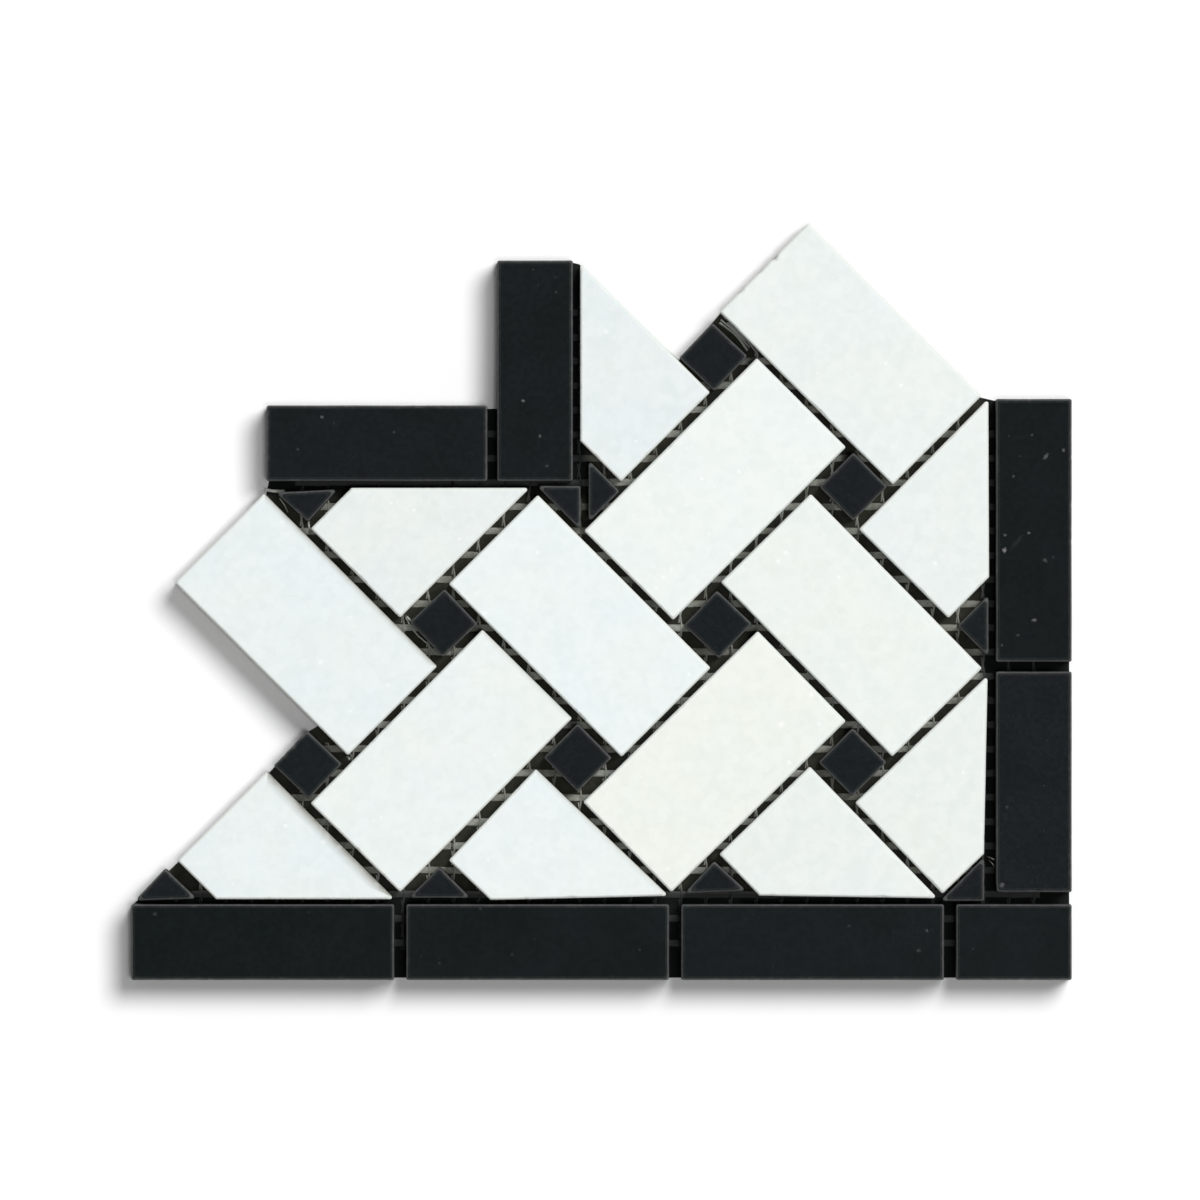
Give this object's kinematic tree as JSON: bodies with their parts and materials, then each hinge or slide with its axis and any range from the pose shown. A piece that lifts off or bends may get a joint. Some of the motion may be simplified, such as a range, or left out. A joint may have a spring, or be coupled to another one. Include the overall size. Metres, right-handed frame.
{
  "type": "marble mosaic border corner tile",
  "caption": "Corner piece of a marble mosaic border: a basketweave of pale bricks and dark dots between dark liner strips, held on a backing net, with polished face up.",
  "frame": {"origin": "middle of the tile's outline, on the back of the net that it is bedded on", "axes": "+Z out of the polished face; +X along the longer run of the border, towards its outer corner; +Y along the shorter run, away from the outer corner"},
  "size_m": [0.186, 0.1498, 0.0099],
  "materials": {
    "white_marble": "polished",
    "black_marble": "polished",
    "backing_net": "matte"
  },
  "bodies": {
    "root": {"backing_net_corner": "backing_net", "backing_net_left": "backing_net", "backing_net_middle": "backing_net", "backing_net_upper": "backing_net", "black_dot_1": "black_marble", "black_dot_2": "black_marble", "black_dot_3": "black_marble", "black_dot_4": "black_marble", "black_dot_5": "black_marble", "black_dot_6": "black_marble", "black_dot_7": "black_marble", "black_half_dot_1": "black_marble", "black_half_dot_2": "black_marble", "black_half_dot_3": "black_marble", "black_half_dot_4": "black_marble", "black_half_dot_5": "black_marble", "black_half_dot_6": "black_marble", "black_half_dot_7": "black_marble", "black_half_dot_8": "black_marble", "corner_liner": "black_marble", "inner_liner_across": "black_marble", "inner_liner_upright": "black_marble", "outer_liner_left": "black_marble", "outer_liner_middle": "black_marble", "outer_liner_right": "black_marble", "side_liner_lower": "black_marble", "side_liner_upper": "black_marble", "white_brick_1": "white_marble", "white_brick_2": "white_marble", "white_brick_3": "white_marble", "white_brick_4": "white_marble", "white_brick_5": "white_marble", "white_brick_6": "white_marble", "white_brick_7": "white_marble", "white_half_brick_1": "white_marble", "white_half_brick_2": "white_marble", "white_half_brick_3": "white_marble", "white_half_brick_4": "white_marble", "white_half_brick_5": "white_marble", "white_half_brick_6": "white_marble", "white_half_brick_7": "white_marble"}
  },
  "joints": []
}
